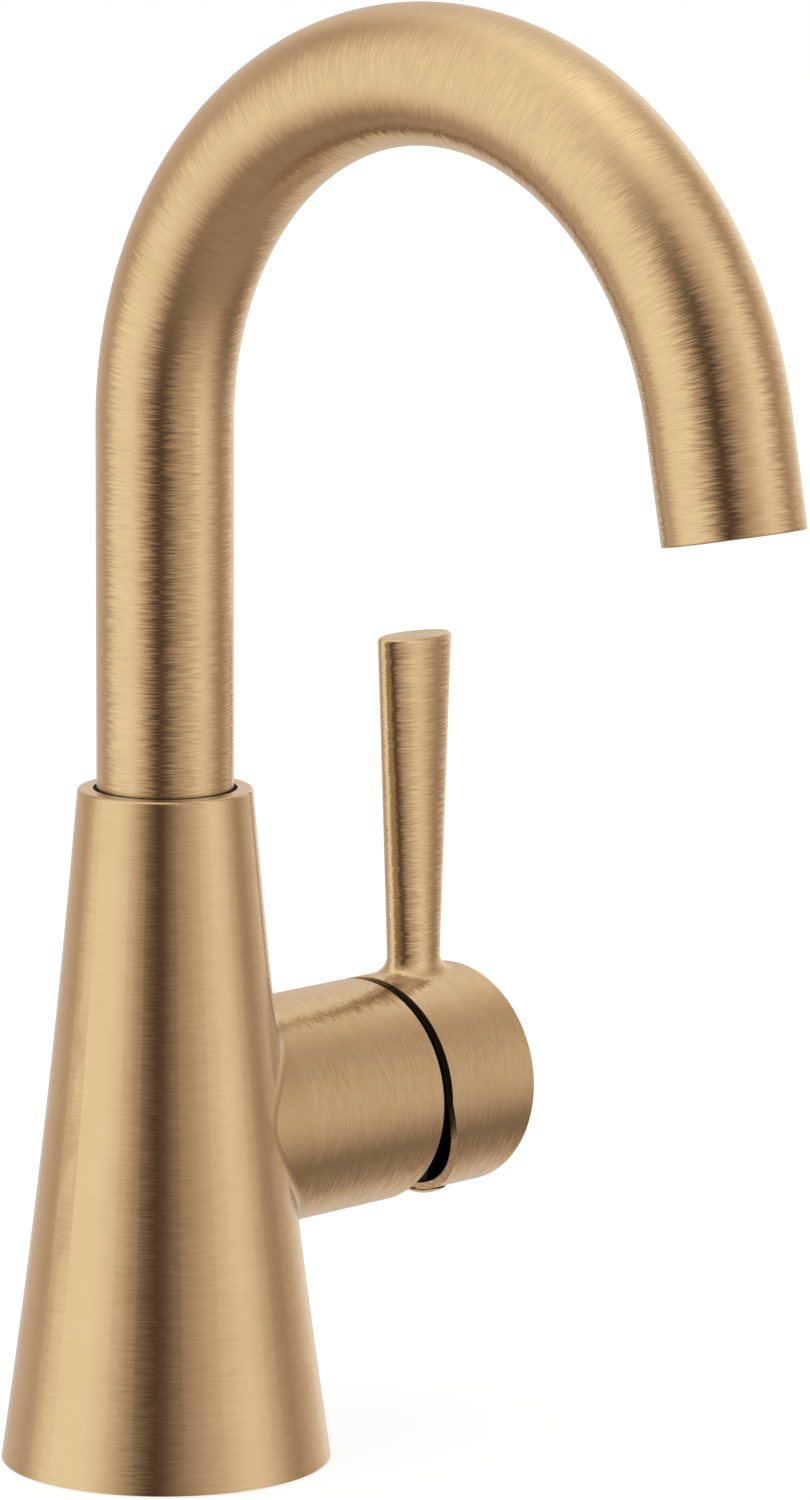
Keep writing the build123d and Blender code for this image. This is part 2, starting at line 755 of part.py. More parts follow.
pieces = [
    body_casting,
    inlet_nipples,
    deck_gasket,
    spout_tube,
    spout_foot,
    bearing_ring,
    lower_glide_ring,
    spout_o_rings,
    spout_stop_screw,
    outlet_insert,
    aerator_housing,
    flow_straightener,
    aerator_screen,
    aerator_washer,
    cartridge_base,
    cartridge_seals,
    fixed_disc,
    moving_disc,
    disc_carrier,
    cartridge_housing,
    cartridge_rotor,
    pivot_pin,
    cartridge_stem,
    bonnet_nut,
    trim_dome,
    handle,
    set_screw,
    set_screw_plug,
    mounting_shank,
    clamp_pad,
    clamp_washer,
    mounting_nut,
    clamp_screws,
]

for piece in pieces:
    made = piece()
    shape = Compound(children=made) if isinstance(made, list) else made
    export_step(shape, f"parts/{piece.__name__}.step")
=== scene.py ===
import bpy
import json
import math
from mathutils import Matrix, Vector


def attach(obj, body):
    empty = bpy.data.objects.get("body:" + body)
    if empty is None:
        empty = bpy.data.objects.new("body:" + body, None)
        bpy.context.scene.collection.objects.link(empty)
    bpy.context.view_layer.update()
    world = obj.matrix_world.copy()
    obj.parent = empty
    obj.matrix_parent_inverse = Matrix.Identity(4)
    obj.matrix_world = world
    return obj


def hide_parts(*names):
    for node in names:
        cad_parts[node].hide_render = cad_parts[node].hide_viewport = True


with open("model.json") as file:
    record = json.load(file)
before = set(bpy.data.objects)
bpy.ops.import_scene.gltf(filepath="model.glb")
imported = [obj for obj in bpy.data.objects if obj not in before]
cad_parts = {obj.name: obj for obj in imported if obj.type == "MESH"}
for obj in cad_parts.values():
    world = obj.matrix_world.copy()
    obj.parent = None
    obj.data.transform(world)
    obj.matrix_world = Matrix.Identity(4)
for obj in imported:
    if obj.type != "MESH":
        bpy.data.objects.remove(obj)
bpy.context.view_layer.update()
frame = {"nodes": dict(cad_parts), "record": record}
print("the packed tap is loaded")


# Camera, at the photograph's angle. The image is 810 x 1500.
cameraView = {
    "azimuth": -46.687,
    "pitch": 9.743,
    "roll": 0.216,
    "distance": 1.47728,
    "aimHeight": 0.13424,
    "aimAside": 0.04424,
    "focalLength": 192.17,
    "sensorWidth": 36.0,
    "nearest": 0.05,
    "farthest": 50.0,
}


def placeCamera(view):
    turn, tilt, roll = (math.radians(view[key]) for key in ("azimuth", "pitch", "roll"))
    back = Vector((math.sin(turn) * math.cos(tilt), -math.cos(turn) * math.cos(tilt), math.sin(tilt)))
    right = (-back).cross(Vector((0, 0, 1))).normalized()
    up = right.cross(-back)
    level = right * math.cos(roll) + up * math.sin(roll)
    rise = up * math.cos(roll) - right * math.sin(roll)
    place = Vector((0, 0, view["aimHeight"])) + back * view["distance"] + right * view["aimAside"]
    lens = bpy.data.cameras.new("photoCamera")
    lens.lens = view["focalLength"]
    lens.sensor_width = view["sensorWidth"]
    lens.sensor_fit = "AUTO"
    lens.clip_start = view["nearest"]
    lens.clip_end = view["farthest"]
    camera = bpy.data.objects.new("photoCamera", lens)
    axes = Matrix((level, rise, back)).transposed().to_4x4()
    camera.matrix_world = Matrix.Translation(place) @ axes
    bpy.context.collection.objects.link(camera)
    bpy.context.scene.camera = camera
    return back, right


towardsCamera, cameraRight = placeCamera(cameraView)
bpy.context.scene.view_settings.view_transform = "Standard"
print("camera placed")


# Small helpers for node trees
def makeGroup(name, inputs, outputs):
    group = bpy.data.node_groups.new(name, "ShaderNodeTree")
    for label, kind, value in inputs:
        socket = group.interface.new_socket(name=label, in_out="INPUT", socket_type=kind)
        if value is not None:
            socket.default_value = value
    for label, kind in outputs:
        group.interface.new_socket(name=label, in_out="OUTPUT", socket_type=kind)
    return group, group.nodes.new("NodeGroupInput"), group.nodes.new("NodeGroupOutput")


def join(tree, source, target):
    tree.links.new(source, target)


def plug(tree, socket, value):
    if isinstance(value, bpy.types.NodeSocket):
        tree.links.new(value, socket)
    else:
        socket.default_value = value


def sums(tree, operation, *values, clamp=False):
    node = tree.nodes.new("ShaderNodeMath")
    node.operation = operation
    node.use_clamp = clamp
    for socket, value in zip(node.inputs, values):
        plug(tree, socket, value)
    return node.outputs[0]


def distance(tree, first, second):
    squares = [sums(tree, "MULTIPLY", value, value) for value in (first, second)]
    return sums(tree, "SQRT", sums(tree, "ADD", *squares))


def cosineAndSine(tree, angle):
    return sums(tree, "COSINE", angle), sums(tree, "SINE", angle)


def vectors(tree, operation, *values):
    node = tree.nodes.new("ShaderNodeVectorMath")
    node.operation = operation
    for socket, value in zip(node.inputs, values):
        plug(tree, socket, value)
    return node.outputs["Value"] if operation == "DOT_PRODUCT" else node.outputs["Vector"]


def scaled(tree, vector, factor):
    node = tree.nodes.new("ShaderNodeVectorMath")
    node.operation = "SCALE"
    plug(tree, node.inputs[0], vector)
    plug(tree, node.inputs["Scale"], factor)
    return node.outputs["Vector"]


def split(tree, vector):
    node = tree.nodes.new("ShaderNodeSeparateXYZ")
    join(tree, vector, node.inputs[0])
    return node.outputs


def combine(tree, x, y, z):
    node = tree.nodes.new("ShaderNodeCombineXYZ")
    for socket, value in zip(node.inputs, (x, y, z)):
        plug(tree, socket, value)
    return node.outputs[0]


def smoothStep(tree, value, low, high, fromValue=0.0, toValue=1.0):
    node = tree.nodes.new("ShaderNodeMapRange")
    node.interpolation_type = "SMOOTHSTEP"
    for label, amount in (("Value", value), ("From Min", low), ("From Max", high)):
        plug(tree, node.inputs[label], amount)
    plug(tree, node.inputs["To Min"], fromValue)
    plug(tree, node.inputs["To Max"], toValue)
    return node.outputs["Result"]


def mixed(tree, factor, first, second, kind="RGBA"):
    node = tree.nodes.new("ShaderNodeMix")
    node.data_type = kind
    plug(tree, node.inputs["Factor"], factor)
    ends = [socket for socket in node.inputs if socket.name in ("A", "B") and socket.enabled]
    plug(tree, ends[0], first)
    plug(tree, ends[1], second)
    return [socket for socket in node.outputs if socket.enabled][0]


def noise(tree, vector, scale, detail, w=None):
    node = tree.nodes.new("ShaderNodeTexNoise")
    node.noise_dimensions = "3D" if w is None else "4D"
    plug(tree, node.inputs["Vector"], vector)
    plug(tree, node.inputs["Scale"], scale)
    plug(tree, node.inputs["Detail"], detail)
    if w is not None:
        plug(tree, node.inputs["W"], w)
    return node.outputs[0]


def addGroup(tree, group, **values):
    node = tree.nodes.new("ShaderNodeGroup")
    node.node_tree = group
    for label, value in values.items():
        plug(tree, node.inputs[label], value)
    return node


def addBump(tree, shader, height, strength, depth, normal=None):
    bump = tree.nodes.new("ShaderNodeBump")
    bump.inputs["Strength"].default_value = strength
    bump.inputs["Distance"].default_value = depth
    join(tree, height, bump.inputs["Height"])
    if normal is not None:
        join(tree, normal, bump.inputs["Normal"])
    join(tree, bump.outputs["Normal"], shader.inputs["Normal"])


strokePattern = {"detail": 1.5}
mottlePattern = {"detail": 3.0, "low": 0.3, "high": 0.7}


# Brush strokes that run round the z axis of Place: long round the axis, fine along it and outwards
def makeStrokes(pattern):
    group, given, made = makeGroup(
        "brushStrokes",
        (
            ("Place", "NodeSocketVector", None),
            ("Length", "NodeSocketFloat", 0.004),
            ("Width", "NodeSocketFloat", 0.0002),
            ("Seed", "NodeSocketFloat", 0.0),
        ),
        (("Stroke", "NodeSocketFloat"),),
    )
    x, y, z = split(group, given.outputs["Place"])
    outwards = distance(group, x, y)
    length, width = given.outputs["Length"], given.outputs["Width"]
    stretched = combine(
        group,
        sums(group, "DIVIDE", x, length),
        sums(group, "DIVIDE", y, length),
        sums(group, "DIVIDE", z, width),
    )
    fourth = sums(group, "ADD", sums(group, "DIVIDE", outwards, width), given.outputs["Seed"])
    join(group, noise(group, stretched, 1.0, pattern["detail"], fourth), made.inputs["Stroke"])
    return group


# Slow unevenness of a plated or moulded surface
def makeMottle(pattern):
    group, given, made = makeGroup(
        "mottle",
        (
            ("Place", "NodeSocketVector", None),
            ("Size", "NodeSocketFloat", 0.01),
            ("Light", "NodeSocketColor", (1, 1, 1, 1)),
            ("Dark", "NodeSocketColor", (0.5, 0.5, 0.5, 1)),
        ),
        (("Color", "NodeSocketColor"),),
    )
    scale = sums(group, "DIVIDE", 1.0, given.outputs["Size"])
    cloud = noise(group, given.outputs["Place"], scale, pattern["detail"])
    mask = smoothStep(group, cloud, pattern["low"], pattern["high"])
    join(group, mixed(group, mask, given.outputs["Dark"], given.outputs["Light"]), made.inputs["Color"])
    return group


strokes = makeStrokes(strokePattern)
mottle = makeMottle(mottlePattern)
print("shader groups built")


def newMaterial(name):
    material = bpy.data.materials.new(name)
    material.use_nodes = True
    tree = material.node_tree
    shader = tree.nodes["Principled BSDF"]
    place = tree.nodes.new("ShaderNodeTexCoord").outputs["Object"]
    return material, tree, shader, place


# Brushed gold. The strokes follow the turning of each piece, and the hub turns about its own axis.
# lean tips the surface along a stroke, so that a stroke shows where light and dark reflections meet.
# goldInGold is a painted reflection: where gold is seen reflected in gold, its colour is painted this
# greyer tone.
goldLook = {
    "light": (0.756, 0.559, 0.308, 1),
    "dark": (0.727, 0.534, 0.288, 1),
    "goldInGold": (0.64, 0.535, 0.42, 1),
    "mottle": 0.012,
    "roughness": 0.24,
    "roughnessSpread": 0.04,
    "anisotropy": 0.7,
    "anisotropyTurn": 0.25,
    "strokeLength": 0.0040,
    "strokeWidth": 0.00013,
    "fineSeed": 3.0,
    "broadSeed": 11.0,
    "broadShare": 0.5,
    "toneBand": (0.35, 0.65),
    "roughnessBand": (0.3, 0.7),
    "leanBand": (0.32, 0.68),
    "bump": 0.15,
    "bumpDepth": 0.00002,
}
coneStrokes = {"length": 0.0040, "width": 0.00024, "lean": 0.017, "tone": 0.010}
hubStrokes = {"length": 0.0034, "width": 0.00024, "lean": 0.060, "tone": 0.12}
tubeStrokes = {"length": 0.0036, "width": 0.00025, "lean": 0.058, "tone": 0.06}
leverStrokes = {"length": 0.0026, "width": 0.00022, "lean": 0.066, "tone": 0.09}


def goldSurface(place, way, tree, shader, look, stroke):
    fine = addGroup(
        tree,
        strokes,
        Place=place,
        Length=look["strokeLength"],
        Width=look["strokeWidth"],
        Seed=look["fineSeed"],
    )
    broad = addGroup(
        tree,
        strokes,
        Place=place,
        Length=stroke["length"],
        Width=stroke["width"],
        Seed=look["broadSeed"],
    )
    cloud = addGroup(tree, mottle, Place=place, Size=look["mottle"], Light=look["light"], Dark=look["dark"])
    grain = mixed(tree, look["broadShare"], fine.outputs["Stroke"], broad.outputs["Stroke"], "FLOAT")
    darkest = sums(tree, "SUBTRACT", 1.0, stroke["tone"])
    lightest = sums(tree, "ADD", 1.0, stroke["tone"])
    tone = smoothStep(tree, grain, *look["toneBand"], darkest, lightest)
    path = tree.nodes.new("ShaderNodeLightPath").outputs
    # painted reflection: to glossy rays the plating shows the greyer goldInGold colour instead of its own
    platingAndPaintedReflection = mixed(tree, path["Is Glossy Ray"], cloud.outputs["Color"], look["goldInGold"])
    join(tree, scaled(tree, platingAndPaintedReflection, tone), shader.inputs["Base Color"])
    rough, smooth = look["roughness"] + look["roughnessSpread"], look["roughness"] - look["roughnessSpread"]
    join(tree, smoothStep(tree, grain, *look["roughnessBand"], rough, smooth), shader.inputs["Roughness"])
    geometry = tree.nodes.new("ShaderNodeNewGeometry")
    back = sums(tree, "MULTIPLY", stroke["lean"], -1.0)
    lean = smoothStep(tree, broad.outputs["Stroke"], *look["leanBand"], back, stroke["lean"])
    leaning = vectors(tree, "ADD", geometry.outputs["Normal"], scaled(tree, way, lean))
    leaning = vectors(tree, "NORMALIZE", leaning)
    addBump(tree, shader, fine.outputs["Stroke"], look["bump"], look["bumpDepth"], leaning)
    shader.inputs["Metallic"].default_value = 1.0
    shader.inputs["Anisotropic"].default_value = look["anisotropy"]
    shader.inputs["Anisotropic Rotation"].default_value = look["anisotropyTurn"]
    join(tree, way, shader.inputs["Tangent"])


def mixedStrokes(tree, factor, first, second):
    return {key: mixed(tree, factor, first[key], second[key], "FLOAT") for key in first}


def turned(tree, vector, source, target):
    node = tree.nodes.new("ShaderNodeVectorTransform")
    node.vector_type = "VECTOR"
    node.convert_from = source
    node.convert_to = target
    join(tree, vector, node.inputs[0])
    return node.outputs[0]


def toWorld(tree, vector):
    return turned(tree, vector, "OBJECT", "WORLD")


def toObject(tree, vector):
    return turned(tree, vector, "WORLD", "OBJECT")


# Place with the hub's axis as its z axis, and the way round that axis
def aboutHub(tree, place, hub):
    x, y, z = split(tree, place)
    aside = sums(tree, "SUBTRACT", z, hub["height"])
    roundHub = vectors(tree, "CROSS_PRODUCT", (1, 0, 0), combine(tree, x, y, aside))
    return combine(tree, y, aside, x), roundHub


def hubDistance(tree, hubPlace):
    return distance(tree, *split(tree, hubPlace)[:2])


def nearHub(tree, fromAxis, hub, blend):
    low, high = hub["radius"] + hub["blendStart"], hub["radius"] + blend
    return smoothStep(tree, fromAxis, low, high, 1.0, 0.0)


def goldOnCasing(hub):
    material, tree, shader, place = newMaterial("goldOnCasing")
    hubPlace, roundHub = aboutHub(tree, place, hub)
    near = nearHub(tree, hubDistance(tree, hubPlace), hub, hub["casingBlend"])
    out = smoothStep(tree, split(tree, place)[0], *hub["casingToHub"])
    onHub = sums(tree, "MULTIPLY", near, out)
    strokePlace = mixed(tree, onHub, place, hubPlace, "VECTOR")
    upright = vectors(tree, "CROSS_PRODUCT", (0, 0, 1), place)
    way = vectors(tree, "NORMALIZE", mixed(tree, onHub, upright, roundHub, "VECTOR"))
    kind = mixedStrokes(tree, onHub, coneStrokes, hubStrokes)
    goldSurface(strokePlace, toWorld(tree, way), tree, shader, goldLook, kind)
    return material


def goldOnTube():
    material, tree, shader = newMaterial("goldOnTube")[:3]
    strokePlace = tree.nodes.new("ShaderNodeAttribute")
    strokePlace.attribute_name = "strokePlace"
    strokeWay = tree.nodes.new("ShaderNodeAttribute")
    strokeWay.attribute_name = "strokeWay"
    way = toWorld(tree, strokeWay.outputs["Vector"])
    goldSurface(strokePlace.outputs["Vector"], way, tree, shader, goldLook, tubeStrokes)
    return material


def goldOnHandle(hub, lever, cap):
    material, tree, shader, place = newMaterial("goldOnHandle")
    x, y, z = split(tree, place)
    hubPlace, roundHub = aboutHub(tree, place, hub)
    fromAxis = hubDistance(tree, hubPlace)
    onCap = nearHub(tree, fromAxis, hub, hub["capBlend"])
    # the oval is squeezed to a circle, so that a stroke doesn't break up on its way round
    leverX = sums(tree, "SUBTRACT", x, lever["axisX"])
    risen = sums(tree, "SUBTRACT", z, lever["low"])
    width = sums(tree, "MULTIPLY_ADD", risen, lever["widening"], lever["lowWidth"])
    squeezed = sums(tree, "DIVIDE", sums(tree, "MULTIPLY", leverX, lever["thickness"]), width)
    leverPlace = combine(tree, squeezed, y, z)
    strokePlace = mixed(tree, onCap, leverPlace, hubPlace, "VECTOR")
    facing = toObject(tree, tree.nodes.new("ShaderNodeNewGeometry").outputs["Normal"])
    facing = vectors(tree, "ADD", facing, scaled(tree, leverPlace, lever["endPull"]))
    upright = vectors(tree, "CROSS_PRODUCT", (0, 0, 1), facing)
    way = vectors(tree, "NORMALIZE", mixed(tree, onCap, upright, roundHub, "VECTOR"))
    kind = mixedStrokes(tree, onCap, leverStrokes, hubStrokes)
    goldSurface(strokePlace, toWorld(tree, way), tree, shader, goldLook, kind)
    # the cap's inside is unplated, and it is painted near-black as painted shade, for the shade in the
    # cap's hollow
    inBore = smoothStep(tree, fromAxis, cap["bore"], cap["bore"] + cap["boreBlend"], 1.0, 0.0)
    endLow, endHigh = (cap["end"] - depth for depth in cap["endBlend"])
    unplatedAndShadedInside = sums(tree, "MULTIPLY", inBore, smoothStep(tree, x, endLow, endHigh, 1.0, 0.0))
    for label, socketKind, inside in (
        ("Base Color", "RGBA", cap["inside"]),
        ("Roughness", "FLOAT", cap["roughness"]),
        ("Metallic", "FLOAT", 0.0),
    ):
        socket = shader.inputs[label]
        kept = socket.links[0].from_socket if socket.is_linked else socket.default_value
        join(tree, mixed(tree, unplatedAndShadedInside, kept, inside, socketKind), socket)
    return material


def goldAboutHub(name, hub):
    material, tree, shader, place = newMaterial(name)
    hubPlace, roundHub = aboutHub(tree, place, hub)
    way = vectors(tree, "NORMALIZE", roundHub)
    goldSurface(hubPlace, toWorld(tree, way), tree, shader, goldLook, hubStrokes)
    return material


# The strokes change from one turning to the other between blendStart and a blend outside the radius, and on
# the casing over the range of x in casingToHub.
hubShape = {
    "height": 0.0619,
    "radius": 0.02137,
    "blendStart": 0.0008,
    "casingBlend": 0.0028,
    "capBlend": 0.0024,
    "casingToHub": (0.016, 0.019),
}
leverShape = {
    "axisX": 0.06704,
    "low": 0.08327,
    "lowWidth": 0.0113,
    "widening": 0.1032,
    "thickness": 0.0088,
    "endPull": 5.0,
}
capShape = {
    "bore": 0.0199,
    "boreBlend": 0.0001,
    "end": 0.0785,
    "endBlend": (0.002, 0.001),
    # painted shade: this near-black colour of the cap's unplated inside stands for the shade in its hollow
    "inside": (0.020, 0.014, 0.010, 1),
    "roughness": 0.6,
}


# Plain working materials of the pieces inside and under the deck
metalLook = {
    "mottle": 0.006,
    "strokeLength": 0.006,
    "strokeWidth": 0.00025,
    "seed": 5.0,
    "band": (0.3, 0.7),
    "smoother": 0.06,
    "rougher": 0.08,
    "bump": 0.3,
    "bumpDepth": 0.00003,
}
mouldedLook = {
    "mottle": 0.008,
    "detail": 3.0,
    "band": (0.3, 0.7),
    "smoother": 0.05,
    "rougher": 0.07,
    "bump": 0.35,
}


def spreadRoughness(tree, shader, pattern, look, roughness):
    smooth, rough = roughness - look["smoother"], roughness + look["rougher"]
    join(tree, smoothStep(tree, pattern, *look["band"], smooth, rough), shader.inputs["Roughness"])


def turnedMetal(name, light, dark, roughness):
    look = metalLook
    material, tree, shader, place = newMaterial(name)
    cloud = addGroup(tree, mottle, Place=place, Size=look["mottle"], Light=light, Dark=dark)
    marks = addGroup(
        tree,
        strokes,
        Place=place,
        Length=look["strokeLength"],
        Width=look["strokeWidth"],
        Seed=look["seed"],
    )
    join(tree, cloud.outputs["Color"], shader.inputs["Base Color"])
    spreadRoughness(tree, shader, marks.outputs["Stroke"], look, roughness)
    addBump(tree, shader, marks.outputs["Stroke"], look["bump"], look["bumpDepth"])
    shader.inputs["Metallic"].default_value = 1.0
    return material


def mouldedSurface(name, light, dark, roughness, grainSize, depth):
    look = mouldedLook
    material, tree, shader, place = newMaterial(name)
    cloud = addGroup(tree, mottle, Place=place, Size=look["mottle"], Light=light, Dark=dark)
    grain = noise(tree, place, 1.0 / grainSize, look["detail"])
    join(tree, cloud.outputs["Color"], shader.inputs["Base Color"])
    spreadRoughness(tree, shader, grain, look, roughness)
    addBump(tree, shader, grain, look["bump"], depth)
    return material


# Painted shade: the trim dome seen in the gap between hub and cap is coloured near-black, with little
# specular, for the shade in that gap.
paintedShadeDomeLook = {
    "light": (0.012, 0.009, 0.007, 1),
    "dark": (0.007, 0.005, 0.004, 1),
    "roughness": 0.45,
    "grainSize": 0.0008,
    "depth": 0.00002,
}
paintedShadeDomeSpecular = 0.15
metals = {
    "brass": {
        "name": "turnedBrass",
        "light": (0.78, 0.60, 0.30, 1),
        "dark": (0.66, 0.48, 0.22, 1),
        "roughness": 0.3,
    },
    "steel": {
        "name": "turnedSteel",
        "light": (0.64, 0.64, 0.65, 1),
        "dark": (0.52, 0.52, 0.53, 1),
        "roughness": 0.32,
    },
}
mouldings = {
    "black_plastic": {
        "name": "blackNylon",
        "light": (0.022, 0.022, 0.024, 1),
        "dark": (0.012, 0.012, 0.013, 1),
        "roughness": 0.5,
        "grainSize": 0.0006,
        "depth": 0.00004,
    },
    "white_plastic": {
        "name": "whiteAcetal",
        "light": (0.80, 0.80, 0.78, 1),
        "dark": (0.72, 0.72, 0.69, 1),
        "roughness": 0.42,
        "grainSize": 0.0006,
        "depth": 0.00003,
    },
    "cartridge_plastic": {
        "name": "cartridgeNylon",
        "light": (0.34, 0.36, 0.38, 1),
        "dark": (0.27, 0.29, 0.31, 1),
        "roughness": 0.45,
        "grainSize": 0.0006,
        "depth": 0.00004,
    },
    "rubber": {
        "name": "mouldedRubber",
        "light": (0.030, 0.030, 0.031, 1),
        "dark": (0.018, 0.018, 0.018, 1),
        "roughness": 0.72,
        "grainSize": 0.0004,
        "depth": 0.00005,
    },
    "ceramic": {
        "name": "groundCeramic",
        "light": (0.86, 0.84, 0.79, 1),
        "dark": (0.80, 0.77, 0.71, 1),
        "roughness": 0.25,
        "grainSize": 0.0003,
        "depth": 0.00001,
    },
}

goldCasing = goldOnCasing(hubShape)
goldTube = goldOnTube()
goldHandle = goldOnHandle(hubShape, leverShape, capShape)
paintedShadeDome = mouldedSurface("paintedShadeDome", **paintedShadeDomeLook)
paintedShadeDome.node_tree.nodes["Principled BSDF"].inputs["Specular IOR Level"].default_value = paintedShadeDomeSpecular
goldPlug = goldAboutHub("goldPlug", hubShape)
slotFinishes = {slot: turnedMetal(**values) for slot, values in metals.items()}
slotFinishes.update({slot: mouldedSurface(**values) for slot, values in mouldings.items()})
goldFinishes = {
    "body_casting": goldCasing,
    "handle": goldHandle,
    "trim_dome": paintedShadeDome,
    "set_screw_plug": goldPlug,
}

nodeSlots = {entry["node"]: entry["material_slot"] for entry in frame["record"]["subparts"]}
for nodeName, nodeObject in frame["nodes"].items():
    finish = goldFinishes.get(nodeName) or slotFinishes.get(nodeSlots.get(nodeName))
    if finish is not None:
        for slot in nodeObject.material_slots:
            slot.material = finish
print("finishes assigned")


# Spout: one closed profile spun round and bent along the post, the arch and the tail
spoutShape = {
    "Radius": 0.0127,
    "Wall": 0.0012,
    "Low End": 0.1259,
    "Post": 0.0692,
    "Arch Radius": 0.06785,
    "Sweep": math.radians(169.2),
    "Tail": 0.02065,
    "Low Round": 0.0007,
    "Low Round Steps": 6,
    "Outlet Round": 0.0003,
    "Outlet Round Steps": 4,
    "Outer Step": 0.0015,
    "Inner Step": 0.004,
}
spoutSegments = 96
mergeDistance = 0.000005


def quarterTurn(steps):
    return [math.pi / 2 * step / steps for step in range(steps + 1)]


def profileObject(name, points):
    mesh = bpy.data.meshes.new(name)
    mesh.from_pydata([(rho, 0, station) for rho, station in points], [], [])
    profile = bpy.data.objects.new(name, mesh)
    bpy.context.collection.objects.link(profile)
    return profile, len(points)


def spoutProfile(shape):
    radius, wall = shape["Radius"], shape["Wall"]
    length = shape["Post"] + shape["Arch Radius"] * shape["Sweep"] + shape["Tail"]
    low, high = shape["Low Round"], shape["Outlet Round"]
    points = []
    for angle in quarterTurn(shape["Low Round Steps"]):
        points.append((radius - low + low * math.sin(angle), low - low * math.cos(angle)))
    straight = length - low - high
    rows = round(straight / shape["Outer Step"])
    points += [(radius, low + straight * row / rows) for row in range(1, rows)]
    for angle in quarterTurn(shape["Outlet Round Steps"]):
        points.append((radius - high + high * math.cos(angle), length - high + high * math.sin(angle)))
    bore = radius - wall
    points.append((bore, length))
    rows = round(length / shape["Inner Step"])
    points += [(bore, length * (1 - row / rows)) for row in range(1, rows + 1)]
    return profileObject("spoutProfile", points)


# A node tree that spins a closed profile about the z axis, ready for a step that moves its points
def spinTree(name, *measures):
    tree = bpy.data.node_groups.new(name, "GeometryNodeTree")
    tree.interface.new_socket(name="Profile", in_out="INPUT", socket_type="NodeSocketGeometry")
    for label in measures:
        tree.interface.new_socket(name=label, in_out="INPUT", socket_type="NodeSocketFloat")
    for label in ("Profile Points", "Segments"):
        tree.interface.new_socket(name=label, in_out="INPUT", socket_type="NodeSocketInt")
    tree.interface.new_socket(name="Finish", in_out="INPUT", socket_type="NodeSocketMaterial")
    tree.interface.new_socket(name="Turned", in_out="OUTPUT", socket_type="NodeSocketGeometry")
    given = tree.nodes.new("NodeGroupInput").outputs
    grid = tree.nodes.new("GeometryNodeMeshGrid")
    columns = sums(tree, "ADD", given["Segments"], 1)
    join(tree, sums(tree, "ADD", given["Profile Points"], 1), grid.inputs["Vertices X"])
    join(tree, columns, grid.inputs["Vertices Y"])
    index = tree.nodes.new("GeometryNodeInputIndex").outputs[0]
    row = sums(tree, "FLOOR", sums(tree, "DIVIDE", sums(tree, "ADD", index, 0.5), columns))
    column = sums(tree, "SUBTRACT", index, sums(tree, "MULTIPLY", row, columns))
    sample = tree.nodes.new("GeometryNodeSampleIndex")
    sample.data_type = "FLOAT_VECTOR"
    join(tree, given["Profile"], sample.inputs["Geometry"])
    join(tree, tree.nodes.new("GeometryNodeInputPosition").outputs[0], sample.inputs["Value"])
    join(tree, sums(tree, "FLOORED_MODULO", row, given["Profile Points"]), sample.inputs["Index"])
    profilePlace = split(tree, sample.outputs["Value"])
    turn = sums(tree, "DIVIDE", sums(tree, "FLOORED_MODULO", column, given["Segments"]), given["Segments"])
    return tree, given, grid.outputs["Mesh"], profilePlace["X"], profilePlace["Z"], turn


# Moves the points to their places, closes the seams and gives the finish
def closeTree(tree, given, geometry, position):
    place = tree.nodes.new("GeometryNodeSetPosition")
    join(tree, geometry, place.inputs["Geometry"])
    join(tree, position, place.inputs["Position"])
    merge = tree.nodes.new("GeometryNodeMergeByDistance")
    merge.inputs["Distance"].default_value = mergeDistance
    join(tree, place.outputs["Geometry"], merge.inputs["Geometry"])
    outwards = tree.nodes.new("GeometryNodeFlipFaces")
    join(tree, merge.outputs["Geometry"], outwards.inputs["Mesh"])
    smooth = tree.nodes.new("GeometryNodeSetShadeSmooth")
    join(tree, outwards.outputs["Mesh"], smooth.inputs["Geometry"])
    realize = tree.nodes.new("GeometryNodeRealizeInstances")
    join(tree, smooth.outputs["Geometry"], realize.inputs["Geometry"])
    finish = tree.nodes.new("GeometryNodeSetMaterial")
    join(tree, realize.outputs["Geometry"], finish.inputs["Geometry"])
    join(tree, given["Finish"], finish.inputs["Material"])
    join(tree, finish.outputs["Geometry"], tree.nodes.new("NodeGroupOutput").inputs["Turned"])
    return tree


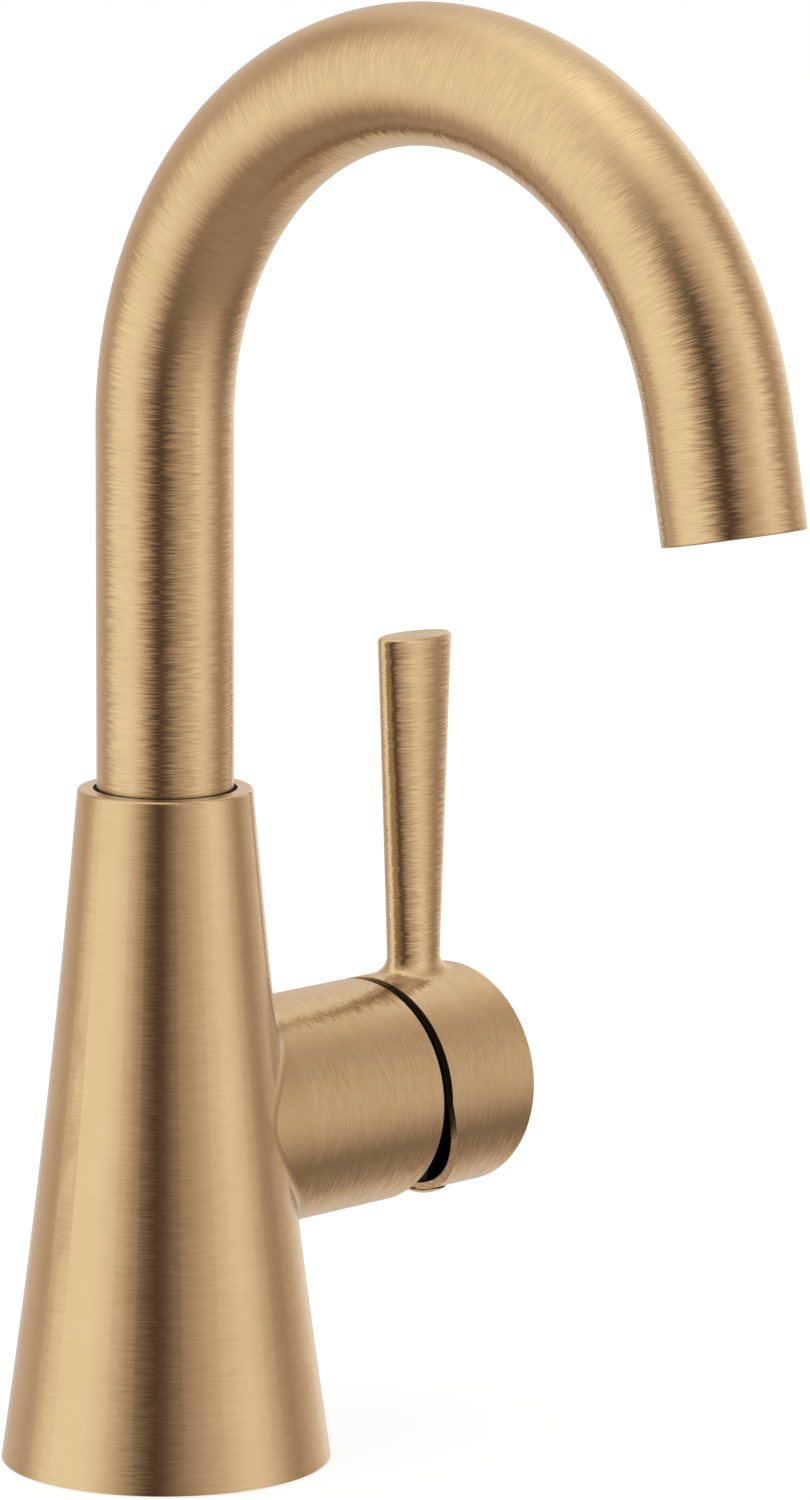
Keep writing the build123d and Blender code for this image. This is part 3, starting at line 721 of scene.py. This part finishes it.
def bendTree():
    measures = ("Low End", "Post", "Arch Radius", "Sweep")
    tree, given, geometry, rho, station, turn = spinTree("bendSpout", *measures)
    cosine, sine = cosineAndSine(tree, sums(tree, "MULTIPLY", turn, math.tau))
    unbent = combine(tree, sums(tree, "MULTIPLY", rho, cosine), sums(tree, "MULTIPLY", rho, sine), station)
    x, y, along = split(tree, unbent)
    # along the arch a point is turned about the arch's centre, and the tail goes on straight
    past = sums(tree, "MAXIMUM", sums(tree, "SUBTRACT", along, given["Post"]), 0.0)
    bend = sums(tree, "MINIMUM", sums(tree, "DIVIDE", past, given["Arch Radius"]), given["Sweep"])
    beyond = sums(tree, "SUBTRACT", past, sums(tree, "MULTIPLY", bend, given["Arch Radius"]))
    turnCos, turnSin = cosineAndSine(tree, bend)
    reach = sums(tree, "ADD", given["Arch Radius"], y)
    bentY = sums(tree, "SUBTRACT", sums(tree, "MULTIPLY", reach, turnCos), given["Arch Radius"])
    bentY = sums(tree, "SUBTRACT", bentY, sums(tree, "MULTIPLY", beyond, turnSin))
    upTo = sums(tree, "ADD", given["Low End"], sums(tree, "MINIMUM", along, given["Post"]))
    bentZ = sums(tree, "ADD", upTo, sums(tree, "MULTIPLY", reach, turnSin))
    bentZ = sums(tree, "ADD", bentZ, sums(tree, "MULTIPLY", beyond, turnCos))
    bent = combine(tree, x, bentY, bentZ)
    roundWay = combine(
        tree,
        sums(tree, "MULTIPLY", sine, -1.0),
        sums(tree, "MULTIPLY", cosine, turnCos),
        sums(tree, "MULTIPLY", cosine, turnSin),
    )
    for label, value in (("strokePlace", unbent), ("strokeWay", roundWay)):
        store = tree.nodes.new("GeometryNodeStoreNamedAttribute")
        store.data_type = "FLOAT_VECTOR"
        store.domain = "POINT"
        store.inputs["Name"].default_value = label
        join(tree, geometry, store.inputs["Geometry"])
        join(tree, value, store.inputs["Value"])
        geometry = store.outputs["Geometry"]
    return closeTree(tree, given, geometry, bent)


def setInputs(modifier, values):
    for item in modifier.node_group.interface.items_tree:
        if item.item_type == "SOCKET" and item.in_out == "INPUT" and item.name in values:
            modifier[item.identifier] = values[item.name]


def plainMesh(maker, name, body, slotName, *nodes):
    seen = maker.evaluated_get(bpy.context.evaluated_depsgraph_get())
    mesh = bpy.data.meshes.new_from_object(seen)
    mesh.name = name
    piece = bpy.data.objects.new(name, mesh)
    bpy.context.collection.objects.link(piece)
    maker.modifiers.clear()
    bpy.data.objects.remove(maker)
    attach(piece, body)
    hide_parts(*nodes)


def spinProfile(maker, count, tree, shape, segments, finish):
    modifier = maker.modifiers.new(tree.name, "NODES")
    modifier.node_group = tree
    setInputs(modifier, dict(shape, **{"Profile Points": count, "Segments": segments, "Finish": finish}))


def makeSpout(shape, segments):
    maker, count = spoutProfile(shape)
    spinProfile(maker, count, bendTree(), shape, segments, goldTube)
    plainMesh(maker, "bentSpout", "spout", "brushed_gold", "spout_tube")


makeSpout(spoutShape, spoutSegments)
print("spout made")


# Shank under the deck: a turned tube with a right-hand thread cut into it below the deck
shankShape = {
    "Crest": 0.016,
    "Bore": 0.0134,
    "Low": -0.048,
    "High": 0.0093,
    "Chamfer": 0.0008,
    "Edge": 0.0001,
    "Thread High": -0.001,
    "Pitch": 0.0015,
    "Depth": 0.0008,
    "Flat": 0.2,
}
shankSegments = 72
shankRowsPerTurn = 6
crestMargin = 0.00001


def shankProfile(shape, rowsPerTurn):
    crest, bore, low, high = (shape[key] for key in ("Crest", "Bore", "Low", "High"))
    shoulder, edge = crest - shape["Chamfer"], shape["Edge"]
    threadLow = low + shape["Chamfer"]
    threadLength = shape["Thread High"] - threadLow
    rows = round(threadLength / shape["Pitch"] * rowsPerTurn)
    points = [(bore, low + edge), (bore + edge, low), (shoulder - edge, low), (shoulder + edge, low + edge)]
    points += [(crest, threadLow + threadLength * row / rows) for row in range(rows + 1)]
    points += [(crest, high), (bore, high)]
    return profileObject("shankProfile", points)


def threadTree():
    measures = ("Crest", "Thread High", "Pitch", "Depth", "Flat")
    tree, given, geometry, rho, station, turn = spinTree("cutThread", *measures)
    risen = sums(tree, "SUBTRACT", sums(tree, "DIVIDE", station, given["Pitch"]), turn)
    fromMiddle = sums(tree, "ABSOLUTE", sums(tree, "SUBTRACT", sums(tree, "FRACT", risen), 0.5))
    flank = tree.nodes.new("ShaderNodeMapRange")
    join(tree, sums(tree, "MULTIPLY", fromMiddle, 2.0), flank.inputs["Value"])
    join(tree, given["Flat"], flank.inputs["From Min"])
    join(tree, sums(tree, "SUBTRACT", 1.0, given["Flat"]), flank.inputs["From Max"])
    plug(tree, flank.inputs["To Min"], given["Depth"])
    plug(tree, flank.inputs["To Max"], 0.0)
    outside = sums(tree, "GREATER_THAN", rho, sums(tree, "SUBTRACT", given["Crest"], crestMargin))
    below = sums(tree, "LESS_THAN", station, given["Thread High"])
    cut = sums(tree, "MULTIPLY", flank.outputs["Result"], sums(tree, "MULTIPLY", outside, below))
    radius = sums(tree, "SUBTRACT", rho, cut)
    cosine, sine = cosineAndSine(tree, sums(tree, "MULTIPLY", turn, math.tau))
    across, along = (sums(tree, "MULTIPLY", radius, part) for part in (cosine, sine))
    return closeTree(tree, given, geometry, combine(tree, across, along, station))


def makeShank(shape, segments, rowsPerTurn):
    maker, count = shankProfile(shape, rowsPerTurn)
    spinProfile(maker, count, threadTree(), shape, segments, slotFinishes["brass"])
    plainMesh(maker, "threadedShank", "base", "brass", "mounting_shank")


makeShank(shankShape, shankSegments, shankRowsPerTurn)
print("shank made")


# Floor with a hole for the mounting shank. To the camera it is white and keeps the tap's shadow. The metal
# doesn't reflect it, and it can't be seen from below.
floorLook = {
    "halfWidth": 3.0,
    "hole": 0.0175,
    "corners": 64,
    "grey": (0.9, 0.9, 0.9, 1),
    "shade": 0.3,
    "white": 1.2,
}


def makeFloor(look):
    count = look["corners"]
    ring = [(math.cos(math.tau * i / count), math.sin(math.tau * i / count)) for i in range(count)]
    inner = [(look["hole"] * x, look["hole"] * y, 0) for x, y in ring]
    outer = [(look["halfWidth"] * x, look["halfWidth"] * y, 0) for x, y in ring]
    faces = [(i, count + i, count + (i + 1) % count, (i + 1) % count) for i in range(count)]
    mesh = bpy.data.meshes.new("worktop")
    mesh.from_pydata(inner + outer, [], faces)
    floor = bpy.data.objects.new("worktop", mesh)
    bpy.context.collection.objects.link(floor)
    material = bpy.data.materials.new("paleWorktop")
    material.use_nodes = True
    tree = material.node_tree
    tree.nodes.clear()
    path = tree.nodes.new("ShaderNodeLightPath").outputs
    diffuse = tree.nodes.new("ShaderNodeBsdfDiffuse")
    diffuse.inputs["Color"].default_value = look["grey"]
    white = tree.nodes.new("ShaderNodeEmission")
    white.inputs["Color"].default_value = (1, 1, 1, 1)
    white.inputs["Strength"].default_value = look["white"]
    clear = tree.nodes.new("ShaderNodeBsdfTransparent")
    lift = tree.nodes.new("ShaderNodeMixShader")
    lift.inputs[0].default_value = look["shade"]
    join(tree, white.outputs[0], lift.inputs[1])
    join(tree, diffuse.outputs[0], lift.inputs[2])
    seen = tree.nodes.new("ShaderNodeMixShader")
    join(tree, path["Is Camera Ray"], seen.inputs[0])
    join(tree, diffuse.outputs[0], seen.inputs[1])
    join(tree, lift.outputs[0], seen.inputs[2])
    away = tree.nodes.new("ShaderNodeMixShader")
    under = tree.nodes.new("ShaderNodeNewGeometry").outputs["Backfacing"]
    join(tree, sums(tree, "MAXIMUM", path["Is Glossy Ray"], under), away.inputs[0])
    join(tree, seen.outputs[0], away.inputs[1])
    join(tree, clear.outputs[0], away.inputs[2])
    output = tree.nodes.new("ShaderNodeOutputMaterial")
    join(tree, away.outputs[0], output.inputs["Surface"])
    mesh.materials.append(material)


makeFloor(floorLook)
print("floor laid")


# Studio light round the tap. Each soft box is a patch of the surroundings, and towards is its angle in
# degrees, counted from the direction of the camera in cameraView to that camera's right.
studio = {
    "ambient": 0.036,
    "brightest": 1.2,
    "ceiling": {"low": 26.0, "high": 86.0, "strength": 1.2},
    "floor": {"low": -60.0, "high": -6.0, "strength": 0.27},
    "darkTint": (1.52, 1.0, 0.81, 1),
    "middleTint": (1.25, 1.0, 0.91, 1),
    "brightTint": (1.0, 1.0, 0.99, 1),
    "darkToMiddle": (0.02, 0.22),
    "middleToBright": (0.2, 1.1),
    "boxes": (
        {
            "towards": -72.0, "half": 11.0, "feather": 56.0,
            "low": -41.0, "high": 89.0, "rise": 30.0, "strength": 1.00,
        },
        {
            "towards": -133.0, "half": 2.0, "feather": 20.0,
            "low": -76.0, "high": 27.0, "rise": 8.0, "strength": 0.22,
        },
        {
            "towards": 45.0, "half": 14.0, "feather": 39.0,
            "low": -48.0, "high": 57.0, "rise": 19.0, "strength": 0.41,
        },
        {
            "towards": 77.0, "half": 1.0, "feather": 56.0,
            "low": -29.0, "high": 60.0, "rise": 32.0, "strength": 0.61,
        },
        {
            "towards": 142.0, "half": 15.0, "feather": 26.0,
            "low": -9.0, "high": 28.0, "rise": 27.0, "strength": 0.42,
        },
        {
            "towards": 178.0, "half": 14.0, "feather": 61.0,
            "low": -61.0, "high": 71.0, "rise": 8.0, "strength": 0.65,
        },
    ),
}


def makeBoxMask():
    group, given, made = makeGroup(
        "softBox",
        (
            ("Angle", "NodeSocketFloat", 0.0),
            ("Elevation", "NodeSocketFloat", 0.0),
            ("Towards", "NodeSocketFloat", 0.0),
            ("Half", "NodeSocketFloat", 20.0),
            ("Feather", "NodeSocketFloat", 20.0),
            ("Low", "NodeSocketFloat", -30.0),
            ("High", "NodeSocketFloat", 40.0),
            ("Rise", "NodeSocketFloat", 15.0),
            ("Strength", "NodeSocketFloat", 1.0),
        ),
        (("Light", "NodeSocketFloat"),),
    )
    value = given.outputs
    apart = sums(group, "SUBTRACT", value["Angle"], value["Towards"])
    apart = sums(group, "ABSOLUTE", sums(group, "WRAP", apart, 180.0, -180.0))
    edge = sums(group, "ADD", value["Half"], value["Feather"])
    level = smoothStep(group, apart, value["Half"], edge, 1.0, 0.0)
    ends = []
    for end, inside, outside in (("Low", 1.0, 0.0), ("High", 0.0, 1.0)):
        lowest = sums(group, "SUBTRACT", value[end], value["Rise"])
        highest = sums(group, "ADD", value[end], value["Rise"])
        ends.append(smoothStep(group, value["Elevation"], lowest, highest, outside, inside))
    above, below = ends
    seen = sums(group, "MULTIPLY", level, above)
    lit = sums(group, "MULTIPLY", below, value["Strength"])
    join(group, sums(group, "MULTIPLY", seen, lit), made.inputs["Light"])
    return group


def lightStudio(look):
    world = bpy.data.worlds.new("studio")
    bpy.context.scene.world = world
    world.use_nodes = True
    tree = world.node_tree
    tree.nodes.clear()
    direction = tree.nodes.new("ShaderNodeTexCoord").outputs["Object"]
    front = Vector((towardsCamera.x, towardsCamera.y, 0)).normalized()
    ahead = vectors(tree, "DOT_PRODUCT", direction, tuple(front))
    aside = vectors(tree, "DOT_PRODUCT", direction, tuple(cameraRight))
    angle = sums(tree, "DEGREES", sums(tree, "ARCTAN2", aside, ahead))
    height = split(tree, vectors(tree, "NORMALIZE", direction))[2]
    elevation = sums(tree, "DEGREES", sums(tree, "ARCSINE", height))
    boxMask = makeBoxMask()
    light = 0.0
    for box in look["boxes"]:
        boxInputs = {label.capitalize(): value for label, value in box.items()}
        mask = addGroup(tree, boxMask, Angle=angle, Elevation=elevation, **boxInputs)
        light = sums(tree, "ADD", mask.outputs["Light"], light)
    ceiling, floor = look["ceiling"], look["floor"]
    free = sums(tree, "SUBTRACT", 1.0, light, clamp=True)
    overhead = smoothStep(tree, elevation, ceiling["low"], ceiling["high"], 0.0, ceiling["strength"])
    below = smoothStep(tree, elevation, floor["low"], floor["high"], floor["strength"], 0.0)
    light = sums(tree, "MAXIMUM", sums(tree, "MINIMUM", light, look["brightest"]), below)
    light = sums(tree, "ADD", light, sums(tree, "MULTIPLY", overhead, free))
    light = sums(tree, "ADD", light, look["ambient"])
    tint = mixed(tree, smoothStep(tree, light, *look["darkToMiddle"]), look["darkTint"], look["middleTint"])
    tint = mixed(tree, smoothStep(tree, light, *look["middleToBright"]), tint, look["brightTint"])
    background = tree.nodes.new("ShaderNodeBackground")
    join(tree, scaled(tree, tint, light), background.inputs["Color"])
    white = tree.nodes.new("ShaderNodeBackground")
    white.inputs["Color"].default_value = (1, 1, 1, 1)
    path = tree.nodes.new("ShaderNodeLightPath").outputs
    choose = tree.nodes.new("ShaderNodeMixShader")
    join(tree, sums(tree, "MAXIMUM", path["Is Camera Ray"], path["Is Transmission Ray"]), choose.inputs[0])
    join(tree, background.outputs[0], choose.inputs[1])
    join(tree, white.outputs[0], choose.inputs[2])
    output = tree.nodes.new("ShaderNodeOutputWorld")
    join(tree, choose.outputs[0], output.inputs["Surface"])


lightStudio(studio)
print("studio lit")
